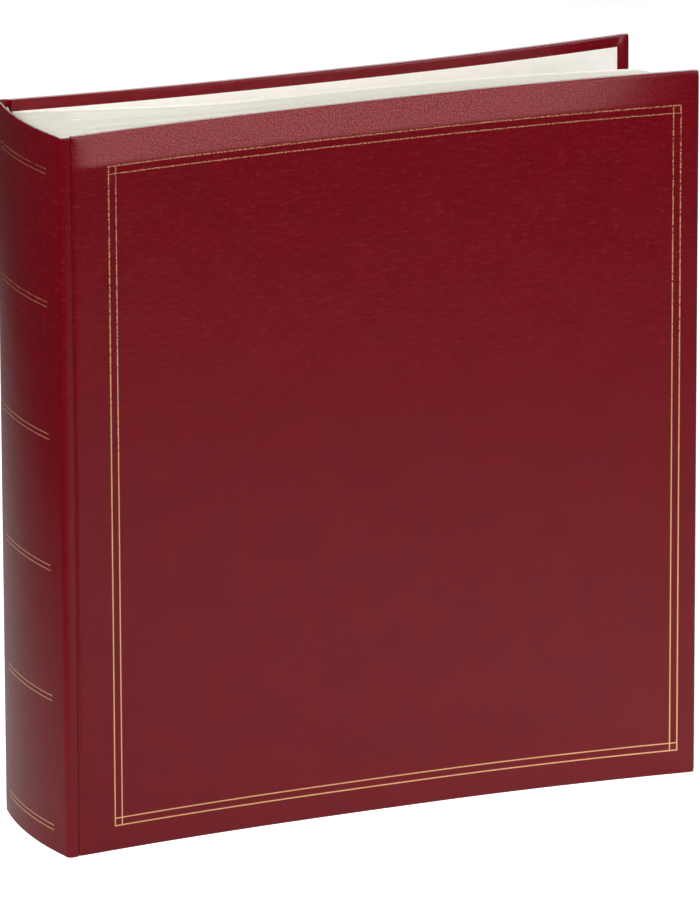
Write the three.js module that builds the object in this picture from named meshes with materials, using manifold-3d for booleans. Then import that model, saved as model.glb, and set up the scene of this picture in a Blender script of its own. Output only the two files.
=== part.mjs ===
// A stamp album bound in leatherette, standing on its tail edges.
// Millimetres, +Z up. The spine is at -X, the fore-edges are at +X and the
// front cover faces -Y. The origin is the middle of the footprint.
//
// Every piece is an upright slice with one plan outline, so the plan does most
// of the work. A plan point is given as (reach, side): reach runs from the
// covers' joint edge towards the fore-edge, side runs from the front cover to
// the rear cover with 0 at the middle of the album.

import * as THREE from 'three';
import { mergeVertices } from 'three/addons/utils/BufferGeometryUtils.js';
import Module from 'manifold-3d';

const wasm = await Module();
wasm.setup();

// ---------------------------------------------------------------- dimensions

const ALBUM_HEIGHT = 320;
const COVER_WIDTH = 292;
const SPINE_BULGE = 10;
const JOINT_X = (SPINE_BULGE - COVER_WIDTH) / 2;

// Half the album's thickness over the covers' outer faces.
const HALF_AT_JOINT = 37;
const HALF_AT_WAIST = 30;
const HALF_AT_FORE_EDGE = 38;
const WAIST_REACH = 165;
const JOINT_FLARE_POWER = 2.6;

// A cover, from the outside in: leatherette, greyboard, turn-in, pastedown.
const SKIN = 0.4;
const GLUE_GAP = 0.1;
const BOARD = 2.0;
const PASTEDOWN = 0.2;
const TURN_IN_DEPTH = SKIN + GLUE_GAP + BOARD + GLUE_GAP;
const SLAB = TURN_IN_DEPTH + SKIN;
const COVER = SLAB + GLUE_GAP + PASTEDOWN;
const TURN_IN_WIDTH = 15;
const PASTEDOWN_MARGIN = 5;
const PASTEDOWN_START = 4;
const BOARD_START = 1;
const SLAB_START = 0.6;
const COVER_LIP = { reach: -0.8, side: 36 };

// The spine's skin: one shallow arc between two small round shoulders.
const SHOULDER_HALF = 37.6;
const SHOULDER_RADIUS = 2.2;
const SHOULDER_REACH = -4;
const SHOULDER_END_ANGLE = 35 * Math.PI / 180;
const SPINE_LIP = 1;
const SPINE_SKIN = 0.5;

// Layers behind the spine's skin: depth under its outer face, thickness,
// half width and the height at which each starts above the tail.
const INLAY = { depth: 0.6, thickness: 1.0, half: 34, tail: 1 };
const BACK_LINING = { depth: 2.4, thickness: 0.4, half: 33, tail: 5.5 };
const MULL = { depth: 2.9, thickness: 0.3, half: 32, tail: 20 };
const TAPE = { depth: 3.3, thickness: 0.3, half: 30.5 };
const TAPE_WIDTH = 16;
const TAPE_COUNT = 4;
const TAPE_PITCH = 73;
const GUARD_DEPTH = 3.7;

// The leaves and the guards that hold them.
const LEAF_COUNT = 36;
const LEAF = 0.4;
const LEAF_CLEARANCE = 0.6;
const LEAF_SQUARE = 5.5;
const LEAF_END_REACH = 283.5;
const LEAF_END_RECESS = 3;
const GUARD_COUNT = 6;
const GUARD_HALF = 31.5;
const GUARD_GAP = 0.2;
const GUARD_CREASE_GAP = 0.8;
const CREASE_REACH = 24;
const CREASE_FALL = 9;
const CREASE_POWER = 3.5;

// The leaves lean on the front cover, which opens a wedge behind the last one.
const LEAN_START = 24;
const LEAN_RUN = 80;
const LEAN_NEAR_SPINE = 14.5;
const LEAN_POWER = 1.6;
const LEAN_BEND = 150;
const LEAN_AT_FORE_EDGE = 25;

const PLAN_STATIONS = [4, 9, 15, 21, 27, 34, 42, 52, 64, 78, 95, 115, 140, 165, 190, 215, 240, 262];

// ------------------------------------------------------------------- colours

const LEATHERETTE = { color: 0x6d0f1c, roughness: 0.42, metalness: 0 };
const GREYBOARD = { color: 0x8b8378, roughness: 0.95, metalness: 0 };
const ENDPAPER = { color: 0xe6e7e4, roughness: 0.85, metalness: 0 };
const LEAF_CARD = { color: 0xf2f1ea, roughness: 0.85, metalness: 0 };
const KRAFT = { color: 0xb08a5c, roughness: 0.9, metalness: 0 };
const CLOTH = { color: 0xe4ddcb, roughness: 0.95, metalness: 0 };

// ------------------------------------------------------------ plan functions

/** Half thickness of the album over a cover's outer face at a given reach. */
function coverFace(reach) {
  if (reach < WAIST_REACH) {
    const share = (WAIST_REACH - reach) / WAIST_REACH;
    return HALF_AT_WAIST + (HALF_AT_JOINT - HALF_AT_WAIST) * share ** JOINT_FLARE_POWER;
  }
  const share = (reach - WAIST_REACH) / (COVER_WIDTH - WAIST_REACH);
  return HALF_AT_WAIST + (HALF_AT_FORE_EDGE - HALF_AT_WAIST) * share ** 2;
}

/** Half thickness that the leaves may fill between the covers. */
function packHalf(reach) {
  return coverFace(reach) - COVER - LEAF_CLEARANCE;
}

/** Width of the wedge between the last leaf and the rear cover. */
function wedge(reach) {
  const start = THREE.MathUtils.clamp((reach - LEAN_START) / LEAN_RUN, 0, 1);
  const bend = Math.max(0, (reach - LEAN_BEND) / (LEAF_END_REACH - LEAN_BEND));
  return LEAN_NEAR_SPINE * (1 - (1 - start) ** LEAN_POWER) + LEAN_AT_FORE_EDGE * bend ** 2;
}

/** Side of a leaf at a given reach; share is 0 at the front, 1 at the rear. */
function leafSide(share, reach) {
  const half = packHalf(reach);
  return -half + share * (2 * half - wedge(reach));
}

/** Reach of a leaf's crease: deepest in the middle of the album. */
function creaseReach(share) {
  return CREASE_REACH - CREASE_FALL * Math.abs(2 * share - 1) ** CREASE_POWER;
}

/** Stations strictly between two reaches, with both ends added. */
function stationsBetween(start, end) {
  const inner = PLAN_STATIONS.filter((reach) => reach > start + 1 && reach < end - 1);
  return [start, ...inner, end];
}

function plan(reach, side) {
  return new THREE.Vector2(JOINT_X + reach, side);
}

/** Points on a circular arc in plan, from one angle to another. */
function arc(centreReach, centreSide, radius, from, to, steps) {
  const points = [];
  for (let i = 0; i <= steps; i += 1) {
    const angle = from + (to - from) * i / steps;
    points.push(plan(centreReach + radius * Math.cos(angle), centreSide + radius * Math.sin(angle)));
  }
  return points;
}

// -------------------------------------------------------------- solid makers

/** An upright slice: a closed plan outline between two heights. */
function slice(outline, low, high) {
  const options = { depth: high - low, bevelEnabled: false };
  return new THREE.ExtrudeGeometry(new THREE.Shape(outline), options).translate(0, 0, low);
}

/** A slice between two plan lines that run the same way. */
function ribbon(outer, inner, low, high) {
  return slice([...outer, ...[...inner].reverse()], low, high);
}

function toManifold(geometry) {
  const bare = geometry.clone();
  bare.deleteAttribute('normal');
  bare.deleteAttribute('uv');
  const merged = mergeVertices(bare);
  return new wasm.Manifold(new wasm.Mesh({
    numProp: 3,
    vertProperties: Float32Array.from(merged.attributes.position.array),
    triVerts: Uint32Array.from(merged.index.array),
  }));
}

function fromManifold(manifold) {
  const mesh = manifold.getMesh();
  const geometry = new THREE.BufferGeometry();
  geometry.setAttribute('position', new THREE.BufferAttribute(mesh.vertProperties, 3));
  geometry.setIndex(new THREE.BufferAttribute(mesh.triVerts, 1));
  geometry.computeVertexNormals();
  return geometry;
}

function piece(name, geometry, look) {
  const mesh = new THREE.Mesh(geometry, new THREE.MeshStandardMaterial(look));
  mesh.name = name;
  return mesh;
}

// --------------------------------------------------------------- the covers

/** The line a given depth under a cover's outer face; facing is -1 or 1. */
function coverLine(facing, depth, start, end) {
  return stationsBetween(start, end).map((reach) => plan(reach, facing * (coverFace(reach) - depth)));
}

/** A layer of a cover between two depths under its outer face. */
function coverLayer(facing, depth, thickness, start, end, low, high) {
  const outer = coverLine(facing, depth, start, end);
  const inner = coverLine(facing, depth + thickness, start, end);
  return ribbon(outer, inner, low, high);
}

/** Leatherette wrapped over the board's outer face and three of its edges. */
function covering(facing) {
  const lip = [
    plan(COVER_LIP.reach, facing * COVER_LIP.side),
    plan(COVER_LIP.reach, facing * (COVER_LIP.side - SKIN)),
  ];
  const outer = [lip[0], ...coverLine(facing, 0, SLAB_START, COVER_WIDTH)];
  const inner = [lip[1], plan(SLAB_START, facing * (coverFace(SLAB_START) - SKIN)),
    ...coverLine(facing, SLAB, SLAB_START, COVER_WIDTH)];
  const slab = ribbon(outer, inner, 0, ALBUM_HEIGHT);
  const pocket = coverLayer(facing, SKIN, TURN_IN_DEPTH - SKIN, 0, COVER_WIDTH - SKIN - GLUE_GAP,
    SKIN + GLUE_GAP, ALBUM_HEIGHT - SKIN - GLUE_GAP);
  const inside = coverLayer(facing, TURN_IN_DEPTH - GLUE_GAP, 2 * SKIN, 0, COVER_WIDTH - TURN_IN_WIDTH,
    TURN_IN_WIDTH, ALBUM_HEIGHT - TURN_IN_WIDTH);
  return fromManifold(toManifold(slab).subtract(toManifold(pocket)).subtract(toManifold(inside)));
}

function cover(name, facing) {
  const group = new THREE.Group();
  const edge = SKIN + 2 * GLUE_GAP;
  const board = coverLayer(facing, SKIN + GLUE_GAP, BOARD, BOARD_START, COVER_WIDTH - edge,
    edge, ALBUM_HEIGHT - edge);
  const pastedown = coverLayer(facing, SLAB + GLUE_GAP, PASTEDOWN, PASTEDOWN_START,
    COVER_WIDTH - PASTEDOWN_MARGIN - 1, PASTEDOWN_MARGIN, ALBUM_HEIGHT - PASTEDOWN_MARGIN);
  group.add(piece(`${name}_covering`, covering(facing), LEATHERETTE));
  group.add(piece(`${name}_board`, board, GREYBOARD));
  group.add(piece(`${name}_pastedown`, pastedown, ENDPAPER));
  return group;
}

// ---------------------------------------------------------------- the spine

const shoulderSide = SHOULDER_HALF - SHOULDER_RADIUS;
const shoulderInset = SPINE_BULGE + SHOULDER_REACH;
const SPINE_RADIUS = (shoulderInset ** 2 + shoulderSide ** 2 - SHOULDER_RADIUS ** 2)
  / (2 * (shoulderInset - SHOULDER_RADIUS));
const SPINE_CENTRE = SPINE_RADIUS - SPINE_BULGE;
const SPINE_SWEEP = Math.asin(shoulderSide / (SPINE_RADIUS - SHOULDER_RADIUS));

/** The spine's whole plan line at a depth, from the rear lip to the front lip. */
function spineLine(depth) {
  const radius = SHOULDER_RADIUS - depth;
  const end = SHOULDER_END_ANGLE;
  const lipReach = SHOULDER_REACH + radius * Math.cos(end) + SPINE_LIP * Math.sin(end);
  const lipSide = shoulderSide + radius * Math.sin(end) - SPINE_LIP * Math.cos(end);
  return [
    plan(lipReach, lipSide),
    ...arc(SHOULDER_REACH, shoulderSide, radius, end, Math.PI - SPINE_SWEEP, 6),
    ...spineArc(depth, SPINE_SWEEP).slice(1, -1),
    ...arc(SHOULDER_REACH, -shoulderSide, radius, SPINE_SWEEP - Math.PI, -end, 6),
    plan(lipReach, -lipSide),
  ];
}

/** The main arc of the spine at a depth, from the rear to the front. */
function spineArc(depth, sweep, steps = 14) {
  return arc(SPINE_CENTRE, 0, SPINE_RADIUS - depth, Math.PI - sweep, Math.PI + sweep, steps);
}

/** A curved sheet that lies behind the spine's skin. */
function spineLayer(layer, low, high) {
  const sweep = Math.asin(layer.half / (SPINE_RADIUS - layer.depth));
  const outer = spineArc(layer.depth, sweep);
  const inner = spineArc(layer.depth + layer.thickness, sweep);
  return ribbon(outer, inner, low, high);
}

/** One packet of paper guards, with the leaves' creases along its fore face. */
function guard(index) {
  const leavesEach = LEAF_COUNT / GUARD_COUNT;
  const edgeSide = (step) => -GUARD_HALF + 2 * GUARD_HALF * step / GUARD_COUNT;
  const front = edgeSide(index) + GUARD_GAP / 2;
  const rear = edgeSide(index + 1) - GUARD_GAP / 2;
  const faceReach = (share) => creaseReach(share) - GUARD_CREASE_GAP;
  const foreFace = [plan(faceReach(index / GUARD_COUNT), front)];
  for (let i = 0; i < leavesEach; i += 1) {
    const share = (index * leavesEach + i + 0.5) / LEAF_COUNT;
    foreFace.push(plan(faceReach(share), leafSide(share, creaseReach(share))));
  }
  foreFace.push(plan(faceReach((index + 1) / GUARD_COUNT), rear));
  const radius = SPINE_RADIUS - GUARD_DEPTH;
  const back = arc(SPINE_CENTRE, 0, radius, Math.PI - Math.asin(rear / radius),
    Math.PI - Math.asin(front / radius), 3);
  return slice([...foreFace, ...back], LEAF_SQUARE, ALBUM_HEIGHT - LEAF_SQUARE);
}

function spine() {
  const group = new THREE.Group();
  const skin = ribbon(spineLine(0), spineLine(SPINE_SKIN), 0, ALBUM_HEIGHT);
  group.add(piece('spine_covering', skin, LEATHERETTE));
  group.add(piece('spine_inlay', spineLayer(INLAY, INLAY.tail, ALBUM_HEIGHT - INLAY.tail), GREYBOARD));
  const lining = spineLayer(BACK_LINING, BACK_LINING.tail, ALBUM_HEIGHT - BACK_LINING.tail);
  group.add(piece('back_lining', lining, KRAFT));
  group.add(piece('mull_lining', spineLayer(MULL, MULL.tail, ALBUM_HEIGHT - MULL.tail), CLOTH));
  for (let i = 0; i < TAPE_COUNT; i += 1) {
    const middle = ALBUM_HEIGHT / 2 + (i - (TAPE_COUNT - 1) / 2) * TAPE_PITCH;
    const tape = spineLayer(TAPE, middle - TAPE_WIDTH / 2, middle + TAPE_WIDTH / 2);
    group.add(piece(`sewing_tape_${i + 1}`, tape, CLOTH));
  }
  for (let i = 0; i < GUARD_COUNT; i += 1) {
    group.add(piece(`guard_${i + 1}`, guard(i), LEAF_CARD));
  }
  return group;
}

// --------------------------------------------------------------- the leaves

function leafName(index) {
  if (index === 0) {
    return 'front_flyleaf';
  }
  if (index === LEAF_COUNT - 1) {
    return 'rear_flyleaf';
  }
  return `leaf_${String(index).padStart(2, '0')}`;
}

function leaf(index) {
  const share = (index + 0.5) / LEAF_COUNT;
  const end = LEAF_END_REACH - LEAF_END_RECESS * share ** 2;
  const stations = stationsBetween(creaseReach(share), end);
  const line = (offset) => stations.map((reach) => plan(reach, leafSide(share, reach) + offset));
  const sheet = ribbon(line(-LEAF / 2), line(LEAF / 2), LEAF_SQUARE, ALBUM_HEIGHT - LEAF_SQUARE);
  return piece(leafName(index), sheet, index === 0 || index === LEAF_COUNT - 1 ? ENDPAPER : LEAF_CARD);
}

function leaves() {
  const group = new THREE.Group();
  for (let i = 0; i < LEAF_COUNT; i += 1) {
    group.add(leaf(i));
  }
  return group;
}

// ---------------------------------------------------------------- the album

const album = new THREE.Group();
album.add(spine());
album.add(cover('front', -1));
album.add(cover('rear', 1));
album.add(leaves());

export default album;
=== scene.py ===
"""Looks of the stamp album: leatherette, gilding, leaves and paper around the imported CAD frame.

Plan measures are in millimetres, as (reach, side): reach runs from the covers' joint edge to the
fore-edge, side runs from the album's middle towards a cover. facing is -1 at the front, 1 at the rear.
The album's meshes are made in millimetres and stored in metres, in the frame of the CAD model.
"""

import math
import random

import bpy
import numpy as np
from mathutils import Matrix, Vector


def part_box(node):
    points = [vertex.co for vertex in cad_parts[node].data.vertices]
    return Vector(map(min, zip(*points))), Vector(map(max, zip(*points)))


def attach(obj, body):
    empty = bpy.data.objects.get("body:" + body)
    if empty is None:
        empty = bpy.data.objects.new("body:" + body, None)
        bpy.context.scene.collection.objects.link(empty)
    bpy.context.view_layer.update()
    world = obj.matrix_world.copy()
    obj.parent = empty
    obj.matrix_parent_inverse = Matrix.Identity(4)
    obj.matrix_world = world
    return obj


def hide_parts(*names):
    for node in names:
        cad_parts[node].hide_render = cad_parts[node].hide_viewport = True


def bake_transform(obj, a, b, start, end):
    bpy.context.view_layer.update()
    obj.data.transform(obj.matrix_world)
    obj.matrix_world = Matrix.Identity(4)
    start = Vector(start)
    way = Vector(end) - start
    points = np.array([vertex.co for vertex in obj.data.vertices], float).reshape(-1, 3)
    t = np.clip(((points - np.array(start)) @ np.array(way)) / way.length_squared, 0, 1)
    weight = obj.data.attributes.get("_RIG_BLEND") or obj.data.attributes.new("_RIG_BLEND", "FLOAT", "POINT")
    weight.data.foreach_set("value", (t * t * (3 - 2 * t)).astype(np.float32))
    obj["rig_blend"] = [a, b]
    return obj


MM = 0.001

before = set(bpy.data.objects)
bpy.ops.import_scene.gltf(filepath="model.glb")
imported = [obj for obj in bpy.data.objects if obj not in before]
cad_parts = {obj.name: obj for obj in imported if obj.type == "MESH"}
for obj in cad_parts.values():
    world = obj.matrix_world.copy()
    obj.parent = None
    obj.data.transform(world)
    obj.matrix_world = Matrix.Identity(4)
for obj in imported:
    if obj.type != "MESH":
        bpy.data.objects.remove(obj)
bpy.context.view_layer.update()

# ---------------------------------------------------------------- dimensions, from the frame

cover_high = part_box("front_covering")[1] / MM
spine_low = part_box("spine_covering")[0] / MM
leaf_low, leaf_high = (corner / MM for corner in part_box("leaf_01"))
pastedown_low, pastedown_high = (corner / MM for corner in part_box("front_pastedown"))

ALBUM_HEIGHT = cover_high.z
COVER_WIDTH = 292.0
JOINT_X = cover_high.x - COVER_WIDTH
SPINE_BULGE = JOINT_X - spine_low.x
LEAF_TAIL = leaf_low.z
LEAF_HEAD = leaf_high.z
PASTEDOWN_TAIL = pastedown_low.z
PASTEDOWN_HEAD = pastedown_high.z
PASTEDOWN_START = pastedown_low.x - JOINT_X
PASTEDOWN_END = pastedown_high.x - JOINT_X

# ---------------------------------------------------------------- dimensions, as the CAD states them

HALF_AT_JOINT = 37.0
HALF_AT_WAIST = 30.0
HALF_AT_FORE_EDGE = 38.0
WAIST_REACH = 165.0
JOINT_FLARE_POWER = 2.6

COVER_THICKNESS = 3.3
SLAB_THICKNESS = 3.0
PASTEDOWN_DEPTH = 3.1
PASTEDOWN_THICKNESS = 0.2
SLAB_START = 0.6

SHOULDER_REACH = -4.0
SHOULDER_HALF = 37.6
SHOULDER_RADIUS = 2.2

LEAF_COUNT = 36
LEAF_THICKNESS = 0.4
LEAF_CLEARANCE = 0.6
LEAF_END_REACH = 283.5
LEAF_END_RECESS = 3.0
CREASE_REACH = 24.0
CREASE_FALL = 9.0
CREASE_POWER = 3.5
LEAN_START = 24.0
LEAN_RUN = 80.0
LEAN_NEAR_SPINE = 14.5
LEAN_POWER = 1.6
LEAN_BEND = 150.0
LEAN_AT_FORE_EDGE = 25.0

GUARD_COUNT = 6
GUARD_HALF = 31.5
GUARD_DEPTH = 3.7
GUARD_CREASE_GAP = 0.8

# ---------------------------------------------------------------- plan functions


def cover_face(reach):
    """Half thickness of the album over a cover's outer face."""
    near = HALF_AT_JOINT - HALF_AT_WAIST
    far = HALF_AT_FORE_EDGE - HALF_AT_WAIST
    if reach < WAIST_REACH:
        return HALF_AT_WAIST + near * ((WAIST_REACH - reach) / WAIST_REACH) ** JOINT_FLARE_POWER
    return HALF_AT_WAIST + far * ((reach - WAIST_REACH) / (COVER_WIDTH - WAIST_REACH)) ** 2


def pack_half(reach):
    """Half thickness that the leaves may fill between the covers."""
    return cover_face(reach) - COVER_THICKNESS - LEAF_CLEARANCE


def wedge(reach):
    """Width of the wedge between the last leaf and the rear cover."""
    start = min(1.0, max(0.0, (reach - LEAN_START) / LEAN_RUN))
    bend = max(0.0, (reach - LEAN_BEND) / (LEAF_END_REACH - LEAN_BEND))
    return LEAN_NEAR_SPINE * (1 - (1 - start) ** LEAN_POWER) + LEAN_AT_FORE_EDGE * bend**2


def leaf_side(share, reach):
    """Side of a leaf, from the front; share is 0 at the front and 1 at the rear."""
    half = pack_half(reach)
    return -half + share * (2 * half - wedge(reach))


def crease_reach(share):
    """Reach of a leaf's crease, furthest from the spine in the middle of the pack."""
    return CREASE_REACH - CREASE_FALL * abs(2 * share - 1) ** CREASE_POWER


def leaf_name(index):
    if index == 0:
        return "front_flyleaf"
    if index == LEAF_COUNT - 1:
        return "rear_flyleaf"
    return f"leaf_{index:02d}"


SHOULDER_SIDE = SHOULDER_HALF - SHOULDER_RADIUS
SHOULDER_INSET = SPINE_BULGE + SHOULDER_REACH
SPINE_RADIUS = (SHOULDER_INSET**2 + SHOULDER_SIDE**2 - SHOULDER_RADIUS**2) / (
    2 * (SHOULDER_INSET - SHOULDER_RADIUS)
)
SPINE_CENTRE = SPINE_RADIUS - SPINE_BULGE
SPINE_SWEEP = math.asin(SHOULDER_SIDE / (SPINE_RADIUS - SHOULDER_RADIUS))


def arc(centre, radius, start, end, steps):
    """Points of a circular arc in plan, as rows of (reach, side)."""
    angles = np.linspace(start, end, steps + 1)
    return np.column_stack([centre[0] + radius * np.cos(angles), centre[1] + radius * np.sin(angles)])


class PlanLine:
    """A plan line measured along its own length, with the direction that points into the album."""

    STEP = 0.05

    def __init__(self, points, smoothing=0.0):
        points = np.asarray(points, float)
        along = np.concatenate([[0], np.cumsum(np.linalg.norm(np.diff(points, axis=0), axis=1))])
        keep = np.concatenate([[True], np.diff(along) > 1e-9])
        points, along = points[keep], along[keep]
        even = np.arange(0, along[-1], self.STEP)
        line = np.column_stack([np.interp(even, along, points[:, axis]) for axis in (0, 1)])
        line = np.vstack([line, points[-1]])
        if smoothing:
            line = self.smoothed(line, smoothing / self.STEP)
        self.points = line
        self.along = np.concatenate([[0], np.cumsum(np.linalg.norm(np.diff(line, axis=0), axis=1))])
        self.length = self.along[-1]
        tangent = np.gradient(line, axis=0)
        tangent /= np.linalg.norm(tangent, axis=1)[:, None]
        self.inward = np.column_stack([tangent[:, 1], -tangent[:, 0]])

    @staticmethod
    def smoothed(line, width):
        """The line after a Gaussian blur of that many samples, with both ends held in place."""
        tail = int(math.ceil(width * 3))
        weights = np.exp(-0.5 * (np.arange(-tail, tail + 1) / width) ** 2)
        weights /= weights.sum()
        before = 2 * line[0] - line[tail:0:-1]
        after = 2 * line[-1] - line[-2 : -tail - 2 : -1]
        padded = np.vstack([before, line, after])
        return np.column_stack([np.convolve(padded[:, axis], weights, "valid") for axis in (0, 1)])

    def at(self, along, depth=0.0):
        """The (reach, side) of a place on the line, that deep under it."""
        point = [np.interp(along, self.along, self.points[:, axis]) for axis in (0, 1)]
        inward = [np.interp(along, self.along, self.inward[:, axis]) for axis in (0, 1)]
        return point[0] + depth * inward[0], point[1] + depth * inward[1]

    def length_at_reach(self, reach):
        """Where along the joint's and the cover's part of the line a reach is.

        The spine's round has the joint's reaches too, so only points past the shoulder count.
        """
        cover = (self.points[:, 0] > SHOULDER_REACH) & (self.points[:, 1] > SHOULDER_SIDE - 1)
        cover |= self.points[:, 0] > 1
        return float(np.interp(reach, self.points[cover, 0], self.along[cover]))


OUTER_STEPS = {"spine": 40, "shoulder": 24, "cover": 400}
CREASE_AT = -0.1
CREASE_DEPTH = 0.75
CREASE_WIDTH = 0.7
SHOULDER_SOFTNESS = 1.0


def outer_line():
    """The leatherette's outer line: from the middle of the spine over the shoulder to the fore-edge.

    The pressed joint is a narrow crease in an otherwise smooth line. Depths are measured square to
    that smooth line, so that the layers under the crease stay apart.
    """
    start = math.pi - SPINE_SWEEP
    spine = arc((SPINE_CENTRE, 0), SPINE_RADIUS, math.pi, start, OUTER_STEPS["spine"])
    centre = (SHOULDER_REACH, SHOULDER_SIDE)
    shoulder = arc(centre, SHOULDER_RADIUS, start, math.pi / 2, OUTER_STEPS["shoulder"])
    reaches = np.linspace(SLAB_START, COVER_WIDTH, OUTER_STEPS["cover"])
    cover = [(reach, cover_face(reach)) for reach in reaches]
    smooth = PlanLine([*spine, *shoulder, *cover], smoothing=SHOULDER_SOFTNESS)
    middle = smooth.length_at_reach(CREASE_AT)
    crease = CREASE_DEPTH * np.exp(-(((smooth.along - middle) / CREASE_WIDTH) ** 2))
    creased = PlanLine(smooth.points + smooth.inward * crease[:, None])
    shares = smooth.along / smooth.length
    inward = [np.interp(creased.along / creased.length, shares, smooth.inward[:, axis]) for axis in (0, 1)]
    creased.inward = np.column_stack(inward)
    return creased


OUTER = outer_line()
BOARD_START_REACH = -0.5
BOARD_START = OUTER.length_at_reach(BOARD_START_REACH)
BOARD_RISE = 1.0

# ---------------------------------------------------------------- mesh helpers


def place(reach, side, height, facing=1):
    """A point of the frame, in metres."""
    return ((JOINT_X + reach) * MM, facing * side * MM, height * MM)


SMOOTH_ANGLE = 35.0


def make_object(name, points, faces, uvs=None):
    """A mesh object from points in metres, with an optional UV pair per point, in metres."""
    mesh = bpy.data.meshes.new(name)
    mesh.from_pydata(points, [], faces)
    if uvs is not None:
        layer = mesh.uv_layers.new(name="flat")
        corner_points = np.empty(len(mesh.loops), int)
        mesh.loops.foreach_get("vertex_index", corner_points)
        layer.data.foreach_set("uv", np.asarray(uvs, np.float32)[corner_points].ravel())
    mesh.validate()
    mesh.polygons.foreach_set("use_smooth", [True] * len(mesh.polygons))
    mesh.set_sharp_from_angle(angle=math.radians(SMOOTH_ANGLE))
    obj = bpy.data.objects.new(name, mesh)
    bpy.context.scene.collection.objects.link(obj)
    return obj


def number_sheet(obj, share):
    """Gives a whole sheet one place on the noise that its material takes its shade from."""
    layer = obj.data.uv_layers.new(name="sheet", do_init=False)
    layer.data.foreach_set("uv", [share, 0.5] * len(obj.data.loops))
    obj.data.uv_layers.active_index = 0


def apply_modifiers(obj):
    """Replaces the object's mesh by its evaluated one."""
    graph = bpy.context.evaluated_depsgraph_get()
    mesh = bpy.data.meshes.new_from_object(obj.evaluated_get(graph))
    obj.modifiers.clear()
    obj.data = mesh
    return obj


def thicken(obj, thickness, sharp_angle):
    """Gives an open sheet a thickness, behind the side its faces point to."""
    solidify = obj.modifiers.new("thickness", "SOLIDIFY")
    solidify.thickness = thickness * MM
    solidify.offset = -1
    apply_modifiers(obj)
    obj.data.set_sharp_from_angle(angle=math.radians(sharp_angle))
    return obj


def ribbon(line, lows, highs, thickness, facing=1, rows=1, uv_start=0.0):
    """A closed upright sheet that follows rows of (reach, side), as thick as given about that line.

    lows and highs are its tail and head at each point, and rows how many steps its height has.
    """
    line = np.asarray(line, float)
    count = len(line)
    tangent = np.gradient(line, axis=0)
    tangent /= np.linalg.norm(tangent, axis=1)[:, None]
    normal = np.column_stack([-tangent[:, 1], tangent[:, 0]])
    along = np.concatenate([[0], np.cumsum(np.linalg.norm(np.diff(line, axis=0), axis=1))]) + uv_start
    lows = np.broadcast_to(lows, count)
    highs = np.broadcast_to(highs, count)
    points, uvs = [], []
    for face in (-0.5, 0.5):
        skin = line + normal * (face * thickness)
        for row in range(rows + 1):
            heights = lows + (highs - lows) * row / rows
            for (reach, side), height, length in zip(skin, heights, along):
                points.append(place(reach, side, height, facing))
                uvs.append((length * MM, height * MM))
    layer = count * (rows + 1)
    faces = []
    for i in range(count - 1):
        for row in range(rows):
            a = row * count + i
            b = a + count
            faces.append((a, a + 1, b + 1, b))
            faces.append((layer + b, layer + b + 1, layer + a + 1, layer + a))
        top = rows * count + i
        faces.append((i + layer, i + 1 + layer, i + 1, i))
        faces.append((top, top + 1, top + 1 + layer, top + layer))
    for row in range(rows):
        a = row * count
        b = a + count
        faces.append((a + layer, a, b, b + layer))
        a += count - 1
        b += count - 1
        faces.append((a, a + layer, b + layer, b))
    if facing > 0:
        faces = [face[::-1] for face in faces]
    return points, faces, uvs


def join(name, parts):
    """One object from several (points, faces, uvs)."""
    points, faces, uvs = [], [], []
    for part_points, part_faces, part_uvs in parts:
        base = len(points)
        points += part_points
        uvs += part_uvs
        faces += [tuple(base + index for index in face) for face in part_faces]
    return make_object(name, points, faces, uvs)


# ---------------------------------------------------------------- material helpers


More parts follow.
